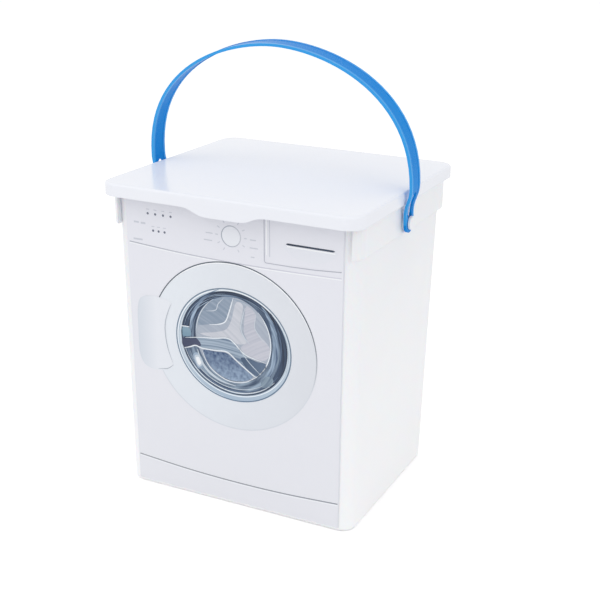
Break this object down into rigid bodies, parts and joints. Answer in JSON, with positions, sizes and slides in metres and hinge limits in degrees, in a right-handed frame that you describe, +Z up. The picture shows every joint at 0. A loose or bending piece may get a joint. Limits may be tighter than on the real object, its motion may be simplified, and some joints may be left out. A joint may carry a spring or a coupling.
{
  "type": "laundry powder container",
  "caption": "White plastic tub for laundry powder with a lift-off lid, a swinging blue strap handle and a front printed as a plain washing machine.",
  "frame": {"origin": "middle of the foot that the tub stands on", "axes": "+Z up, -Y towards the printed front, +X to the right seen from the front"},
  "size_m": [0.2064, 0.185, 0.3289],
  "materials": {
    "white_plastic": "satin injection-moulded polypropylene",
    "gloss_white_plastic": "glossy injection-moulded polypropylene",
    "blue_plastic": "satin blue polypropylene strap",
    "film": "printed film moulded onto the front",
    "grey_line_print": "grey print",
    "navy_print": "dark blue print",
    "pale_blue_print": "pale blue print",
    "grey_print": "grey print",
    "blue_print": "blue print",
    "white_print": "white print"
  },
  "bodies": {
    "tub_body": {"tub": "white_plastic", "front_film": "film", "drawer_grip": "navy_print", "door_grip": "white_print", "porthole_rim": "pale_blue_print", "porthole_seal": "navy_print", "drum": "grey_print", "drum_band": "white_print", "wash_pool": "blue_print", "plinth_line": "grey_line_print", "panel_line": "grey_line_print", "drawer_outline": "grey_line_print", "knob_ring": "grey_line_print", "door_outline": "grey_line_print", "upper_dot_1": "grey_line_print", "upper_dot_2": "grey_line_print", "upper_dot_3": "grey_line_print", "upper_dot_4": "grey_line_print", "lower_dot_1": "grey_line_print", "lower_dot_2": "grey_line_print", "lower_dot_3": "grey_line_print"},
    "lid_body": {"lid": "gloss_white_plastic"},
    "handle_body": {"handle": "blue_plastic"}
  },
  "joints": [
    {"name": "handle_swing", "type": "hinge", "parent": "tub_body", "child": "handle_body", "pos_m": [0, -0.005, 0.2115], "axis": [1, 0, 0], "range_deg": [-45, 35]},
    {"name": "lid_lift", "type": "slide", "parent": "tub_body", "child": "lid_body", "axis": [0, 0, 1], "range_m": [0, 0.012]}
  ]
}
